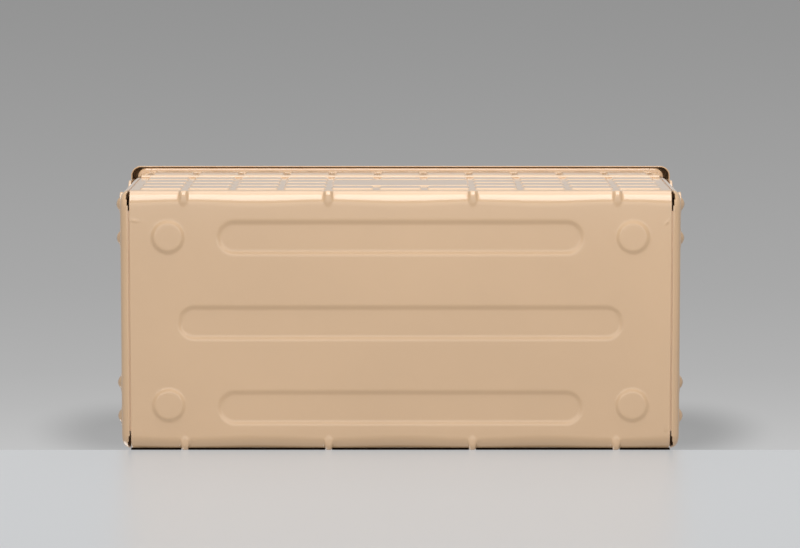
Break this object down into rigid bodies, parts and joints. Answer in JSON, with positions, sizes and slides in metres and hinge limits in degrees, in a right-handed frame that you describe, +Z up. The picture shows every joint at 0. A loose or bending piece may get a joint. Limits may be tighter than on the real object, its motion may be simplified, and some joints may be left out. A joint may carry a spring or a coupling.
{
  "type": "cantilever toolbox",
  "caption": "Pressed steel toolbox whose upper trays swing out on link arms, each with a hinged lid and a folding handle.",
  "frame": {"origin": "on the floor, under the middle of the box", "axes": "+Z up, +X along the length, front is -Y"},
  "size_m": [0.356, 0.1626, 0.215],
  "materials": {
    "beige_paint": "semi-gloss beige enamel on sheet steel",
    "rivet_paint": "the same enamel over rivet heads and spacers"
  },
  "bodies": {
    "base": {"body_shell": "beige_paint", "end_cap_right": "beige_paint", "end_cap_left": "beige_paint", "base_rivets_right": "rivet_paint", "base_rivets_left": "rivet_paint", "base_spacers_right": "rivet_paint", "base_spacers_left": "rivet_paint"},
    "front_outer_arms": {"front_outer_arm_right": "beige_paint", "front_outer_arm_left": "beige_paint"},
    "front_inner_arms": {"front_inner_arm_right": "beige_paint", "front_inner_arm_left": "beige_paint"},
    "front_tray": {"front_tray_shell": "beige_paint", "front_tray_end_right": "beige_paint", "front_tray_end_left": "beige_paint", "front_tray_dividers": "beige_paint", "front_tray_arm_rivets": "rivet_paint", "front_lid_hinge_rivets": "rivet_paint", "front_tray_spacers": "rivet_paint", "front_lid_hinge_spacers": "rivet_paint"},
    "front_lid": {"front_lid": "beige_paint", "front_lid_ears": "beige_paint", "front_handle_rivets": "rivet_paint"},
    "front_handle": {"front_handle": "beige_paint"},
    "rear_outer_arms": {"rear_outer_arm_right": "beige_paint", "rear_outer_arm_left": "beige_paint"},
    "rear_inner_arms": {"rear_inner_arm_right": "beige_paint", "rear_inner_arm_left": "beige_paint"},
    "rear_tray": {"rear_tray_shell": "beige_paint", "rear_tray_end_right": "beige_paint", "rear_tray_end_left": "beige_paint", "rear_tray_dividers": "beige_paint", "rear_tray_arm_rivets": "rivet_paint", "rear_lid_hinge_rivets": "rivet_paint", "rear_tray_spacers": "rivet_paint", "rear_lid_hinge_spacers": "rivet_paint"},
    "rear_lid": {"rear_lid": "beige_paint", "rear_lid_ears": "beige_paint", "rear_handle_rivets": "rivet_paint"},
    "rear_handle": {"rear_handle": "beige_paint"}
  },
  "joints": [
    {"name": "front_outer_arm_swing", "type": "hinge", "parent": "base", "child": "front_outer_arms", "pos_m": [0, -0.066, 0.058], "axis": [1, 0, 0], "range_deg": [0, 52]},
    {"name": "front_tray_pivot", "type": "hinge", "parent": "front_outer_arms", "child": "front_tray", "pos_m": [0, -0.033, 0.125], "axis": [1, 0, 0], "range_deg": [-53, 1]},
    {"name": "front_inner_arm_swing", "type": "hinge", "parent": "base", "child": "front_inner_arms", "pos_m": [0, -0.045, 0.058], "axis": [1, 0, 0], "range_deg": [-1, 53]},
    {"name": "front_lid_hinge", "type": "hinge", "parent": "front_tray", "child": "front_lid", "pos_m": [0, -0.068, 0.126], "axis": [1, 0, 0], "range_deg": [0, 120]},
    {"name": "front_handle_fold", "type": "hinge", "parent": "front_lid", "child": "front_handle", "pos_m": [0, -0.014, 0.171], "axis": [1, 0, 0], "range_deg": [0, 72]},
    {"name": "rear_outer_arm_swing", "type": "hinge", "parent": "base", "child": "rear_outer_arms", "pos_m": [0, 0.066, 0.058], "axis": [-1, 0, 0], "range_deg": [0, 52]},
    {"name": "rear_tray_pivot", "type": "hinge", "parent": "rear_outer_arms", "child": "rear_tray", "pos_m": [0, 0.033, 0.125], "axis": [-1, 0, 0], "range_deg": [-53, 1]},
    {"name": "rear_inner_arm_swing", "type": "hinge", "parent": "base", "child": "rear_inner_arms", "pos_m": [0, 0.045, 0.058], "axis": [-1, 0, 0], "range_deg": [-1, 53]},
    {"name": "rear_lid_hinge", "type": "hinge", "parent": "rear_tray", "child": "rear_lid", "pos_m": [0, 0.068, 0.126], "axis": [-1, 0, 0], "range_deg": [0, 120]},
    {"name": "rear_handle_fold", "type": "hinge", "parent": "rear_lid", "child": "rear_handle", "pos_m": [0, 0.014, 0.171], "axis": [-1, 0, 0], "range_deg": [0, 72]}
  ],
  "couplings": [
    {"joint": "front_tray_pivot", "follows": "front_outer_arm_swing", "ratio": -1},
    {"joint": "front_inner_arm_swing", "follows": "front_outer_arm_swing", "ratio": 1},
    {"joint": "rear_tray_pivot", "follows": "rear_outer_arm_swing", "ratio": -1},
    {"joint": "rear_inner_arm_swing", "follows": "rear_outer_arm_swing", "ratio": 1}
  ]
}
